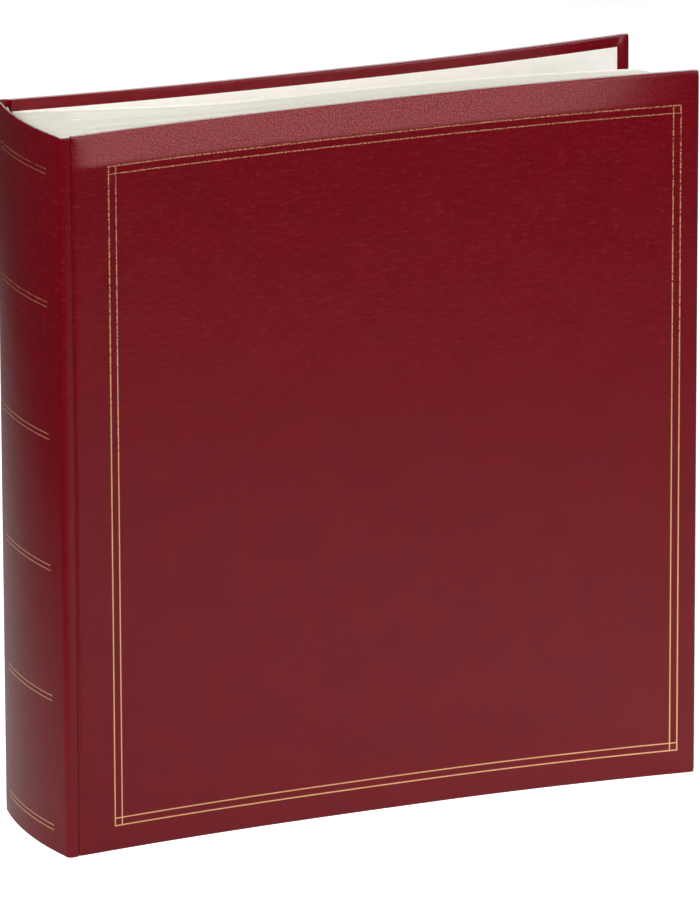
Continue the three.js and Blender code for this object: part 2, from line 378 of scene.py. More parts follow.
class Nodes:
    """A material's node tree, built in short calls."""

    def __init__(self, name):
        self.material = bpy.data.materials.new(name)
        self.material.use_nodes = True
        self.tree = self.material.node_tree
        self.shader = self.tree.nodes["Principled BSDF"]

    def add(self, kind, inputs=(), **settings):
        """Adds a node; inputs are (socket, value or socket to link) pairs."""
        node = self.tree.nodes.new("ShaderNode" + kind)
        for key, value in settings.items():
            setattr(node, key, value)
        self.set(node, inputs)
        return node

    def set(self, node, inputs):
        for socket, value in dict(inputs).items():
            if isinstance(value, bpy.types.NodeSocket):
                self.tree.links.new(value, node.inputs[socket])
            else:
                node.inputs[socket].default_value = value

    def math(self, operation, a, b=0.0, c=0.0):
        return self.add("Math", {0: a, 1: b, 2: c}, operation=operation).outputs[0]

    def millimetres(self, stretch=(1.0, 1.0, 1.0)):
        """The flat sheet's own coordinates in millimetres."""
        uv = self.add("UVMap", uv_map="flat")
        scale = tuple(share / MM for share in stretch)
        return self.add("Mapping", {"Vector": uv.outputs[0], "Scale": scale}).outputs[0]

    def object_millimetres(self, stretch=(1.0, 1.0, 1.0)):
        """Places in the object, in millimetres."""
        coordinates = self.add("TexCoord").outputs["Object"]
        scale = tuple(share / MM for share in stretch)
        return self.add("Mapping", {"Vector": coordinates, "Scale": scale}).outputs[0]

    def noise(self, vector, scale, detail=2.0, roughness=0.5):
        """Fractal noise with so many cells to a unit of the vector."""
        inputs = {"Vector": vector, "Scale": scale, "Detail": detail, "Roughness": roughness}
        return self.add("TexNoise", inputs).outputs[0]

    def ramp(self, value, low, high, to_low=0.0, to_high=1.0, smooth=True):
        """Maps low..high onto to_low..to_high, clamped."""
        kind = "SMOOTHSTEP" if smooth else "LINEAR"
        inputs = {"Value": value, "From Min": low, "From Max": high, "To Min": to_low, "To Max": to_high}
        return self.add("MapRange", inputs, interpolation_type=kind).outputs[0]

    def mix(self, share, a, b):
        """A colour between a and b."""
        node = self.add("Mix", data_type="RGBA")
        self.set(node, {0: share})
        colours = [socket for socket in node.inputs if socket.type == "RGBA"]
        for socket, value in zip(colours, (a, b)):
            if isinstance(value, bpy.types.NodeSocket):
                self.tree.links.new(value, socket)
            else:
                socket.default_value = value
        return next(socket for socket in node.outputs if socket.type == "RGBA")

    def bump(self, height, distance_mm, under=None, strength=1.0):
        """A normal from a height of 0 to 1 that stands for so many millimetres."""
        inputs = {"Height": height, "Distance": distance_mm * MM, "Strength": strength}
        if under is not None:
            inputs["Normal"] = under
        return self.add("Bump", inputs).outputs[0]

    def finish(self, **sockets):
        """Sets the shader's sockets; an underscore in a name stands for a space."""
        self.set(self.shader, {key.replace("_", " "): value for key, value in sockets.items()})
        return self.material


def srgb(red, green, blue):
    """A colour given as 0 to 255 display values, as the linear one that Blender wants."""
    shares = [channel / 255 for channel in (red, green, blue)]
    linear = [share / 12.92 if share <= 0.04045 else ((share + 0.055) / 1.055) ** 2.4 for share in shares]
    return (*linear, 1.0)


# ---------------------------------------------------------------- materials

NOISE_SPAN = (0.3, 0.7)

BURGUNDY = srgb(110, 3, 17)
BURGUNDY_DEEP = srgb(105, 2, 15)
LEATHERETTE_ROUGHNESS = (0.17, 0.25)
LEATHERETTE_IOR = 1.45
CREASE_SHARE = 0.9
PEBBLE_SHARE = 0.6
PORE_SHARE = 0.5
GRAIN_RELIEF = 0.04
SWELL_RELIEF = 0.3

BLOOM = srgb(136, 30, 40)
BLOOM_SPAN = (0.5, 0.72)
BLOOM_HEIGHTS = (130.0, 250.0)
BLOOM_SHARE = 0.45

# Painted sheen on the head margin: the colour goes from deep red to a paler pink on the facet noise's high
# spots, as painted highlights in speckles.
MARGIN_HOLLOWS = srgb(112, 5, 16)
MARGIN_PAINTED_SHEEN = srgb(166, 76, 74)
PAINTED_SHEEN_SPAN = (0.46, 0.62)
MARGIN_DULLNESS = 0.3
FACET_RELIEF = 0.14
HEAD_MARGIN_START = 304.7
HEAD_MARGIN_FADE = 3.6
HEAD_MARGIN_UNDER = 0.6
HEAD_SOFTNESS = 0.5
HEAD_MARGIN_SLOPE = 0.2
HEAD_MARGIN_REACHES = (-4.0, 13.0, 205.0, 296.0)

GOLD = srgb(255, 200, 145)
GOLD_METAL = 0.74
GOLD_ROUGHNESS = (0.42, 0.28)
GOLD_RELIEF = 0.06
GOLD_WEAR_HEIGHTS = (60.0, 300.0)
GOLD_WEAR = (0.3, 0.5)


def head_margin(n, flat):
    """The margin above the ruled frame of a cover, which leans back and keeps an open grain; on the
    leatherette its share also carries a painted sheen.

    Returns its share, 1 there and 0 elsewhere, and the height that a bump node turns into its lean.
    """
    split = n.add("SeparateXYZ", {"Vector": flat})
    joint = OUTER.length_at_reach(0.0)
    places = [joint + reach for reach in HEAD_MARGIN_REACHES]
    starts = n.ramp(split.outputs["X"], places[0], places[1])
    ends = n.ramp(split.outputs["X"], places[2], places[3], 1.0, 0.0)
    low, high = HEAD_MARGIN_START - HEAD_MARGIN_UNDER, HEAD_MARGIN_START + HEAD_MARGIN_FADE
    above = n.ramp(split.outputs["Y"], low, high)
    low, high = ALBUM_HEIGHT - HEAD_SOFTNESS, ALBUM_HEIGHT + HEAD_SOFTNESS
    below = n.ramp(split.outputs["Y"], low, high, 1.0, 0.0)
    share = n.math("MULTIPLY", n.math("MULTIPLY", starts, ends), n.math("MULTIPLY", above, below))
    return share, n.math("MULTIPLY", split.outputs["Y"], -1.0)


def leatherette():
    """Coated bookbinding leatherette: fine pebbled grain over slow undulations.

    Short level creases, a little paler than the rest, show in its upper half. Paler pink speckles over the
    head margin are a painted sheen.
    """
    n = Nodes("leatherette")
    flat = n.millimetres()
    cells = n.add("TexVoronoi", {"Vector": flat, "Scale": 1.3}, voronoi_dimensions="2D").outputs["Distance"]
    pebbles = n.math("MULTIPLY", cells, cells)
    creases = n.noise(flat, 0.7, detail=3.0, roughness=0.6)
    pores = n.noise(flat, 2.4, detail=2.0, roughness=0.6)
    swells = n.noise(flat, 0.035, detail=2.0, roughness=0.5)
    grain = n.math("MULTIPLY_ADD", creases, CREASE_SHARE, n.math("MULTIPLY", pebbles, -PEBBLE_SHARE))
    grain = n.math("MULTIPLY_ADD", pores, PORE_SHARE, grain)
    margin, lean = head_margin(n, flat)
    normal = n.bump(lean, HEAD_MARGIN_SLOPE, strength=margin)
    facets = n.noise(flat, 1.6, detail=2.0, roughness=0.7)
    sheen_specks = n.ramp(facets, *PAINTED_SHEEN_SPAN)
    normal = n.bump(facets, FACET_RELIEF, normal, strength=margin)
    normal = n.bump(swells, SWELL_RELIEF, normal)
    normal = n.bump(grain, GRAIN_RELIEF, normal)
    blotches = n.noise(flat, 0.05, detail=4.0, roughness=0.6)
    colour = n.mix(n.ramp(blotches, *NOISE_SPAN), BURGUNDY, BURGUNDY_DEEP)
    height = n.add("SeparateXYZ", {"Vector": flat}).outputs["Y"]
    pulls = n.noise(n.millimetres((0.35, 1.0, 1.0)), 0.55, detail=3.0, roughness=0.7)
    bloom = n.math("MULTIPLY", n.ramp(pulls, *BLOOM_SPAN), n.ramp(height, *BLOOM_HEIGHTS, 0.0, BLOOM_SHARE))
    colour = n.mix(bloom, colour, BLOOM)
    # Painted sheen: paler pink speckles over the head margin, where glints of light would fall.
    colour = n.mix(margin, colour, n.mix(sheen_specks, MARGIN_HOLLOWS, MARGIN_PAINTED_SHEEN))
    dull = n.math("MULTIPLY_ADD", sheen_specks, -MARGIN_DULLNESS, MARGIN_DULLNESS)
    dull = n.math("MULTIPLY", margin, dull)
    roughness = n.math("ADD", n.ramp(creases, *NOISE_SPAN, *LEATHERETTE_ROUGHNESS), dull)
    return n.finish(Base_Color=colour, Roughness=roughness, Normal=normal, IOR=LEATHERETTE_IOR)


def gold_foil():
    """Hot-stamped foil that misses the low spots of the grain, more so towards the head."""
    n = Nodes("gold_foil")
    flat = n.millimetres()
    specks = n.noise(flat, 1.2, detail=3.0, roughness=0.65)
    height = n.add("SeparateXYZ", {"Vector": flat}).outputs["Y"]
    threshold = n.ramp(height, *GOLD_WEAR_HEIGHTS, *GOLD_WEAR)
    missing = n.math("GREATER_THAN", threshold, specks)
    colour = n.mix(missing, GOLD, BURGUNDY)
    metal = n.math("MULTIPLY_ADD", missing, -GOLD_METAL, GOLD_METAL)
    roughness = n.ramp(specks, *NOISE_SPAN, *GOLD_ROUGHNESS)
    margin, lean = head_margin(n, flat)
    normal = n.bump(lean, HEAD_MARGIN_SLOPE, strength=margin)
    normal = n.bump(specks, GOLD_RELIEF, normal)
    return n.finish(Base_Color=colour, Metallic=metal, Roughness=roughness, Normal=normal)


PAPER_ROUGHNESS = 0.82
PAPER_IOR = 1.4
FIBRE_RELIEF = 0.02


def paper(name, light, dark, grid=False):
    """Uncoated stock: cloudy formation, a fibrous surface and, on leaves, a faint printed grid."""
    n = Nodes(name)
    flat = n.millimetres()
    cloud = n.noise(flat, 0.09, detail=4.0, roughness=0.6)
    fibres = n.noise(n.millimetres((1.0, 4.0, 1.0)), 1.4, detail=3.0, roughness=0.6)
    colour = n.mix(n.ramp(cloud, *NOISE_SPAN), light, dark)
    if grid:
        sheet = n.add("UVMap", uv_map="sheet").outputs[0]
        shade = n.ramp(n.noise(sheet, SHEETS_PER_SHADE, detail=1.0, roughness=0.5), *NOISE_SPAN)
        colour = n.mix(shade, colour, SHEET_SHADE)
        colour = n.mix(grid_lines(n, flat), colour, GRID_INK)
    normal = n.bump(fibres, FIBRE_RELIEF)
    return n.finish(Base_Color=colour, Roughness=PAPER_ROUGHNESS, Normal=normal, IOR=PAPER_IOR)


SHEETS_PER_SHADE = 24.0
SHEET_SHADE = srgb(220, 218, 206)
GRID_INK = srgb(196, 198, 196)
GRID_PITCH = 5.0
GRID_LINE = 0.16
GRID_LEFT = 20.0
GRID_COLUMNS = 46
GRID_TAIL = 25.0
GRID_ROWS = 54


def grid_lines(n, flat):
    """1 on the fine quadrille lines of an album leaf, 0 elsewhere."""
    split = n.add("SeparateXYZ", {"Vector": flat})
    inside = 1.0
    lines = 0.0
    for axis, first, count in (("X", GRID_LEFT, GRID_COLUMNS), ("Y", GRID_TAIL, GRID_ROWS)):
        steps = n.math("DIVIDE", n.math("SUBTRACT", split.outputs[axis], first), GRID_PITCH)
        margin = GRID_LINE / GRID_PITCH
        above = n.math("GREATER_THAN", steps, -margin)
        below = n.math("LESS_THAN", steps, count + margin)
        inside = n.math("MULTIPLY", n.math("MULTIPLY", above, below), inside)
        near = n.math("PINGPONG", steps, 0.5)
        lines = n.math("MAXIMUM", n.math("LESS_THAN", near, margin), lines)
    return n.math("MULTIPLY", inside, lines)


BOARD_RELIEF = 0.05
KRAFT_RELIEF = 0.03
WEAVE_SCALE = 0.55
WEAVE_RELIEF = 0.12


def greyboard():
    """Recycled board with dark fibres."""
    n = Nodes("greyboard")
    place_mm = n.object_millimetres()
    specks = n.noise(place_mm, 1.1, detail=4.0, roughness=0.7)
    colour = n.mix(n.ramp(specks, 0.35, 0.7), srgb(150, 142, 130), srgb(104, 98, 88))
    return n.finish(Base_Color=colour, Roughness=0.95, Normal=n.bump(specks, BOARD_RELIEF))


def kraft():
    """Brown kraft lining with its machine-direction streaks."""
    n = Nodes("kraft")
    streaks = n.noise(n.object_millimetres((1.0, 1.0, 0.08)), 0.9, detail=4.0, roughness=0.6)
    colour = n.mix(n.ramp(streaks, *NOISE_SPAN), srgb(186, 146, 98), srgb(160, 120, 76))
    return n.finish(Base_Color=colour, Roughness=0.9, Normal=n.bump(streaks, KRAFT_RELIEF))


def binding_cloth():
    """Open plain weave of the mull and the sewing tapes."""
    n = Nodes("binding_cloth")
    threads = []
    for direction in ("Y", "Z"):
        inputs = {"Vector": n.object_millimetres(), "Scale": WEAVE_SCALE}
        wave = n.add("TexWave", inputs, bands_direction=direction)
        threads.append(wave.outputs[1])
    weave = n.math("MULTIPLY", *threads)
    colour = n.mix(weave, srgb(232, 225, 208), srgb(184, 174, 152))
    return n.finish(Base_Color=colour, Roughness=0.95, Normal=n.bump(weave, WEAVE_RELIEF))


# The floor's colour holds a painted pool of light that falls to near black towards its edge; the camera sees
# the floor white.
POOL_CENTRE = (300.0, 170.0)
POOL_DEPTH_SHARE = 0.75
POOL_BRIGHT = 200.0
POOL_EDGE = 850.0
FLOOR_GLOW = 0.7
FLOOR_WHITE = (0.92, 0.92, 0.92, 1.0)
FLOOR_DARK = (0.03, 0.03, 0.03, 1.0)


def floor_paper():
    """Matt white table top: a painted pool of light in its colour that fades outwards, overexposed to the
    camera.
    """
    n = Nodes("floor_paper")
    centre = (POOL_CENTRE[0], POOL_CENTRE[1] * POOL_DEPTH_SHARE, 0.0)
    squeezed = n.object_millimetres((1.0, POOL_DEPTH_SHARE, 1.0))
    from_pool = n.add("VectorMath", {0: squeezed, 1: centre}, operation="DISTANCE")
    lit = n.ramp(from_pool.outputs["Value"], POOL_BRIGHT, POOL_EDGE, 1.0, 0.0, smooth=False)
    colour = n.mix(lit, FLOOR_DARK, FLOOR_WHITE)
    seen = n.add("LightPath").outputs["Is Camera Ray"]
    glow = n.math("MULTIPLY", seen, FLOOR_GLOW)
    white = n.mix(seen, colour, FLOOR_WHITE)
    return n.finish(Base_Color=white, Roughness=0.9, Emission_Color=(1, 1, 1, 1), Emission_Strength=glow)


LEATHERETTE = leatherette()
GOLD_FOIL = gold_foil()
ENDPAPER = paper("endpaper", srgb(250, 246, 238), srgb(244, 240, 232))
LEAF_CARD = paper("leaf_card", srgb(244, 241, 232), srgb(238, 235, 225), grid=True)
# The guard card is the leaf card painted a little darker. This painted shade makes the close-packed guards
# look as shaded as the leaves with their gaps.
SHADED_GUARD_CARD = paper("guard_card_painted_shade", srgb(234, 231, 221), srgb(228, 225, 213))
GREYBOARD = greyboard()
KRAFT = kraft()
BINDING_CLOTH = binding_cloth()

CAD_LOOKS = {
    "front_board": GREYBOARD,
    "rear_board": GREYBOARD,
    "spine_inlay": GREYBOARD,
    "back_lining": KRAFT,
    "mull_lining": BINDING_CLOTH,
    "sewing_tape_1": BINDING_CLOTH,
    "sewing_tape_2": BINDING_CLOTH,
    "sewing_tape_3": BINDING_CLOTH,
    "sewing_tape_4": BINDING_CLOTH,
}


def dress(obj, material):
    obj.data.materials.clear()
    obj.data.materials.append(material)
    return obj


def dress_cad_nodes():
    """Procedural materials for the CAD nodes that stay as they are."""
    for name, material in CAD_LOOKS.items():
        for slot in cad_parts[name].material_slots:
            slot.material = material


# ---------------------------------------------------------------- the leatherette covering

SKIN = 0.4
SKIN_SHARP_ANGLE = 60
EDGE_ROUND = 0.8
EDGE_ROUND_STEPS = 5
EDGE_FLAT = 0.02
FACE_INSETS = (8.0, 6.5, 5.0, 3.5, 2.2)
FACE_INSET = FACE_INSETS[0]
TURN_IN_INSETS = (2.0, 3.2, 4.6, 6.0, 9.0, 12.0, 15.0)
CORNER_PATCH = 20.0
CORNER_STEPS = 8
CORNER_ROUND = 0.7
EDGE_FALL = 0.15
EDGE_FALL_WIDTH = 8.0
GROOVE_THICKNESS = 1.1
SPINE_THICKNESS = 2.15
INLAY_HALF = 33.2
INLAY_FALL = 1.4
MITRE_RIDGE = 0.5
MITRE_RUN = 3
MITRE_REACH = 5.0
BEND_START = -1.9
BEND_END = 1.3


def shell_thickness(along):
    """From the outer face to the turn-in's face: board, bare groove or spine inlay."""
    _, side = OUTER.at(along)
    if along > BOARD_START:
        rise = min(1.0, (along - BOARD_START) / BOARD_RISE)
        return GROOVE_THICKNESS + (SLAB_THICKNESS - GROOVE_THICKNESS) * rise
    fall = min(1.0, max(0.0, (side - INLAY_HALF) / INLAY_FALL))
    return SPINE_THICKNESS + (GROOVE_THICKNESS - SPINE_THICKNESS) * fall


def edge_profile(thickness):
    """The wrap over a free edge: (inset from the edge, depth, unrolled inset) from face to turn-in."""
    radius = min(EDGE_ROUND, thickness / 2 - EDGE_FLAT)
    quarter = [math.radians(90 * step / EDGE_ROUND_STEPS) for step in range(EDGE_ROUND_STEPS + 1)]
    profile = [(inset, EDGE_FALL * (1 - inset / EDGE_FALL_WIDTH) ** 2, inset) for inset in FACE_INSETS]
    fall = profile[-1][1]
    for angle in quarter:
        inset = radius * (1 - math.sin(angle))
        depth = fall + (radius - fall / 2) * (1 - math.cos(angle))
        profile.append((inset, depth, radius * (1 - angle)))
    unrolled = profile[-1][2] - (thickness - 2 * radius)
    for angle in quarter:
        inset = radius * (1 - math.cos(angle))
        depth = thickness - radius * (1 - math.sin(angle))
        profile.append((inset, depth, unrolled - radius * angle))
    unrolled = profile[-1][2]
    for inset in TURN_IN_INSETS:
        profile.append((inset, thickness, unrolled - (inset - radius)))
    return profile


def corner_path(inset, end, height, head):
    """Points round a cover's free corner at an inset, in (along, height), first leg on the tail or head."""
    radius = max(CORNER_ROUND - inset, 0.0)
    leg = CORNER_PATCH - inset - radius
    total = 2 * leg + radius * math.pi / 2
    path = []
    for step in range(2 * CORNER_STEPS + 1):
        travelled = total * step / (2 * CORNER_STEPS)
        if travelled <= leg:
            along, up = end - CORNER_PATCH + travelled, inset
        elif travelled >= total - leg:
            along, up = end - inset, CORNER_PATCH - (total - travelled)
        else:
            angle = (travelled - leg) / radius
            along = end - inset - radius + radius * math.sin(angle)
            up = inset + radius - radius * math.cos(angle)
        path.append((along, height - up if head else up))
    return path


def edge_stations(inset, stations, heights):
    """The path of one ring round tail, fore-edge and head, in (along, height)."""
    end, top = OUTER.length, ALBUM_HEIGHT
    tail = [(along, inset) for along in stations[:-1]]
    first = corner_path(inset, end, top, head=False)
    fore_edge = [(end - inset, height) for height in heights[1:-1]]
    second = corner_path(inset, end, top, head=True)[::-1]
    head = [(along, top - inset) for along in stations[-2::-1]]
    return tail + first + fore_edge + second + head


SPINE_END_REACH = -3.5
SHOULDER_LEAD = 6
BOARD_SHOULDER_REACH = 5.0
STATION_COUNTS = {"spine": 17, "shoulder": 26, "joint": 26, "board_edge": 12, "board": 54}
COVER_ROWS = 43


def covering_stations():
    """Places along the outer line: fine over shoulder and groove, wider on spine and board."""
    ends = {
        "spine": OUTER.length_at_reach(SPINE_END_REACH) - SHOULDER_LEAD,
        "shoulder": OUTER.length_at_reach(BEND_START),
        "joint": OUTER.length_at_reach(BEND_END),
        "board_edge": OUTER.length_at_reach(BOARD_SHOULDER_REACH),
        "board": OUTER.length - CORNER_PATCH,
    }
    stations = [0.0]
    for stretch, count in STATION_COUNTS.items():
        stations += list(np.linspace(stations[-1], ends[stretch], count + 1)[1:])
    return stations


def mitre_share(station, diagonals):
    """1 on a corner's mitre fold, falling away over a few stations on its fore-edge side."""
    tail, head = diagonals
    behind = (station - tail, head - station)
    return max(1 - steps / MITRE_RUN if 0 <= steps < MITRE_RUN else 0.0 for steps in behind)


def covering(name, facing):
    """Half the leatherette: half the spine, the groove and a cover, wrapped over every free edge."""
    stations = covering_stations()
    heights = list(np.linspace(CORNER_PATCH, ALBUM_HEIGHT - CORNER_PATCH, COVER_ROWS))
    leg = [FACE_INSET + (CORNER_PATCH - FACE_INSET) * step / CORNER_STEPS for step in range(CORNER_STEPS)]
    columns = stations + [OUTER.length - inset for inset in leg[::-1]]
    rows = leg + heights + [ALBUM_HEIGHT - inset for inset in leg[::-1]]
    points, uvs, faces = [], [], []

    def add(along, height, depth, flat):
        reach, side = OUTER.at(along, depth)
        points.append(place(reach, side, height, facing))
        uvs.append((flat[0] * MM, flat[1] * MM))
        return len(points) - 1

    grid = [[add(along, height, 0.0, (along, height)) for height in rows] for along in columns]
    for i in range(len(columns) - 1):
        for j in range(len(rows) - 1):
            faces.append((grid[i][j], grid[i + 1][j], grid[i + 1][j + 1], grid[i][j + 1]))
    last = len(columns) - 1
    top = len(rows) - 1
    ring = [grid[i][0] for i in range(last + 1)]
    ring += [grid[last][j] for j in range(1, top + 1)]
    ring += [grid[i][top] for i in range(last - 1, -1, -1)]
    board_profile = edge_profile(SLAB_THICKNESS)
    spans = [edge_profile(shell_thickness(along)) for along in stations[:-1]]
    around = len(ring) - 2 * len(spans)
    profiles = spans + [board_profile] * around + spans[::-1]
    diagonals = (len(spans) + CORNER_STEPS, len(ring) - 1 - len(spans) - CORNER_STEPS)
    for k in range(1, len(board_profile)):
        new_ring = []
        paths = {}
        for i, profile in enumerate(profiles):
            inset, depth, unrolled = profile[k]
            for value in (inset, unrolled):
                if value not in paths:
                    paths[value] = edge_stations(value, stations, heights)
            if EDGE_ROUND < inset < MITRE_REACH and depth > EDGE_ROUND:
                depth += MITRE_RIDGE * mitre_share(i, diagonals)
            new_ring.append(add(*paths[inset][i], depth, paths[unrolled][i]))
        for i in range(len(ring) - 1):
            faces.append((ring[i], new_ring[i], new_ring[i + 1], ring[i + 1]))
        ring = new_ring
    if facing > 0:
        faces = [face[::-1] for face in faces]
    obj = make_object(name, points, faces, uvs)
    return dress(thicken(obj, SKIN, SKIN_SHARP_ANGLE), LEATHERETTE)


def bend_with_cover(obj, cover, facing, end=BEND_END):
    """Lets a piece bend between the spine and a cover, across the joint."""
    points = [place(reach, SHOULDER_SIDE, 0, facing) for reach in (BEND_START, end)]
    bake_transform(obj, "spine", cover, start=points[0], end=points[1])


def make_coverings():
    for side_name, facing in (("front", -1), ("rear", 1)):
        skin = covering(f"{side_name}_leatherette", facing)
        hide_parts(f"{side_name}_covering", "spine_covering")
        bend_with_cover(skin, f"{side_name}_cover", facing)


# ---------------------------------------------------------------- the gilding

RULE_WIDTHS = {"outer": 0.58, "inner": 0.54, "spine": 0.42}
RULE_THICKNESS = 0.03
LEVEL_RULE_LIFT = 0.01
UPRIGHT_RULE_LIFT = 0.014
SPINE_RULE_LIFT = 0.015
LEVEL_RULE_STEP = 4
UPRIGHT_RULE_ROWS = 60
FRAME_REACH = (16.9, 283.8)
FRAME_HEIGHT = (11.2, 305.1)
FRAME_GAP = 3.4
SPINE_RULE_HALF = 26.0
SPINE_RULE_FIRST = 11.0
SPINE_RULE_PITCH = 58.5
SPINE_RULE_COUNT = 6
SPINE_RULE_GAP = 2.2
SPINE_RULE_STEPS = 26


def level_rule(start, end, height, facing, width):
    """A rule at one height, from one place along the outer line to another."""
    count = max(2, int(abs(end - start) / LEVEL_RULE_STEP))
    line = [OUTER.at(along, -LEVEL_RULE_LIFT) for along in np.linspace(start, end, count)]
    low = height - width / 2
    return ribbon(line, low, low + width, RULE_THICKNESS, facing, uv_start=start)


def upright_rule(along, low, high, facing, width):
    """A rule at one reach, between two heights, a hair above the level ones that it crosses."""
    line = [OUTER.at(along + step * width, -UPRIGHT_RULE_LIFT) for step in (-0.5, 0.0, 0.5)]
    return ribbon(line, low, high, RULE_THICKNESS, facing, rows=UPRIGHT_RULE_ROWS, uv_start=along)


def make_front_frame():
    """Two ruled rectangles on the front cover; the inner rules run on to the outer ones."""
    half = RULE_WIDTHS["outer"] / 2
    outer = [OUTER.length_at_reach(reach) for reach in FRAME_REACH]
    inner = (outer[0] + FRAME_GAP, outer[1] - FRAME_GAP)
    inner_height = (FRAME_HEIGHT[0] + FRAME_GAP, FRAME_HEIGHT[1] - FRAME_GAP)
    for name, alongs, heights in (("outer", outer, FRAME_HEIGHT), ("inner", inner, inner_height)):
        width = RULE_WIDTHS[name]
        parts = [level_rule(outer[0] - half, outer[1] + half, height, -1, width) for height in heights]
        low, high = FRAME_HEIGHT[0] - half, FRAME_HEIGHT[1] + half
        parts += [upright_rule(along, low, high, -1, width) for along in alongs]
        rules = dress(join(f"front_frame_{name}", parts), GOLD_FOIL)
        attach(rules, "front_cover")


def make_spine_rules():
    """Six pairs of short rules across the spine."""
    sweep = math.asin(SPINE_RULE_HALF / SPINE_RADIUS)
    radius = SPINE_RADIUS + SPINE_RULE_LIFT
    line = arc((SPINE_CENTRE, 0), radius, math.pi + sweep, math.pi - sweep, SPINE_RULE_STEPS)
    width = RULE_WIDTHS["spine"]
    for pair in range(SPINE_RULE_COUNT):
        parts = []
        for side in (-0.5, 0.5):
            low = SPINE_RULE_FIRST + pair * SPINE_RULE_PITCH + side * SPINE_RULE_GAP - width / 2
            parts.append(ribbon(line, low, low + width, RULE_THICKNESS))
        rules = dress(join(f"spine_rules_{pair + 1}", parts), GOLD_FOIL)
        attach(rules, "spine")


# ---------------------------------------------------------------- paper inside the covers

PASTEDOWN_STEPS = 60
PASTEDOWN_ROWS = 12
JOINT_PAPER_THICKNESS = 0.12
JOINT_PAPER_STEPS = 40
JOINT_PAPER_ROWS = 8
JOINT_PAPER_SOFTNESS = 0.7
JOINT_PAPER_GUIDE = ((-3.8, 34.3), (-1.4, 34.2), (0.2, 33.95), (2.0, 33.4), (4.0, 33.15))
JOINT_PAPER_END = 9.0
JOINT_PAPER_BEND = 0.8
JOINT_TONGUE_END = -0.6
JOINT_TONGUE_FALL = 0.8
JOINT_TONGUE_HEAD = 317.0


def make_pastedown(side_name, facing):
    """The endpaper's half that is pasted on the board."""
    depth = PASTEDOWN_DEPTH + PASTEDOWN_THICKNESS / 2
    reaches = np.linspace(PASTEDOWN_START, PASTEDOWN_END, PASTEDOWN_STEPS)
    line = [(reach, cover_face(reach) - depth) for reach in reaches]
    sheet = ribbon(line, PASTEDOWN_TAIL, PASTEDOWN_HEAD, PASTEDOWN_THICKNESS, facing, PASTEDOWN_ROWS)
    sheet = dress(join(f"{side_name}_pasted_endpaper", [sheet]), ENDPAPER)
    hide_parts(f"{side_name}_pastedown")
    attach(sheet, f"{side_name}_cover")


def make_joint_paper(side_name, facing):
    """The endpaper's hinge strip, from under the spine's shoulder over the joint to the board."""
    inner = cover_face(JOINT_PAPER_END) - COVER_THICKNESS - JOINT_PAPER_THICKNESS
    line = PlanLine([*JOINT_PAPER_GUIDE, (JOINT_PAPER_END, inner)], smoothing=JOINT_PAPER_SOFTNESS)
    places = [line.at(along) for along in np.linspace(0, line.length, JOINT_PAPER_STEPS)]
    reaches = [reach for reach, _ in places]
    tongue = (JOINT_TONGUE_END - JOINT_TONGUE_FALL, JOINT_TONGUE_END)
    heads = np.interp(reaches, tongue, (JOINT_TONGUE_HEAD, PASTEDOWN_HEAD))
    sheet = ribbon(places, PASTEDOWN_TAIL, heads, JOINT_PAPER_THICKNESS, facing, JOINT_PAPER_ROWS)
    sheet = dress(join(f"{side_name}_joint_paper", [sheet]), ENDPAPER)
    bend_with_cover(sheet, f"{side_name}_cover", facing, BEND_END + JOINT_PAPER_BEND)


# ---------------------------------------------------------------- leaves

LEAF_SEED = 36
LEAF_ROOT_GAP = 0.7
LEAF_ROOT_SPREAD = 7.0
LEAF_ROOT_SHARES = (0.1, 0.9)
LEAF_BEND = 4.5
LEAF_CORNER = 2.4
LEAF_TRIM_SPREAD = 0.4
LEAF_WAVE = 0.1
LEAF_WAVE_LENGTHS = (70, 130)
LEAF_WAVE_START = 20
LEAF_WAVE_RISE = 60
LEAF_ROWS = 10
LEAF_STATIONS = {"root": 4, "bend": 9, "body": 34, "corner": 8}


def leaf_stations(crease, end):
    """Places along a leaf: fine at the crease and at the rounded corners."""
    start = crease - LEAF_ROOT_GAP
    bend = np.linspace(start, start + LEAF_BEND, LEAF_STATIONS["bend"])
    angles = np.linspace(0, math.pi / 2, LEAF_STATIONS["corner"])
    corner = end - LEAF_CORNER * (1 - np.sin(angles))
    body = np.linspace(bend[-1], corner[0], LEAF_STATIONS["body"])
    return np.concatenate([bend, body[1:-1], corner])


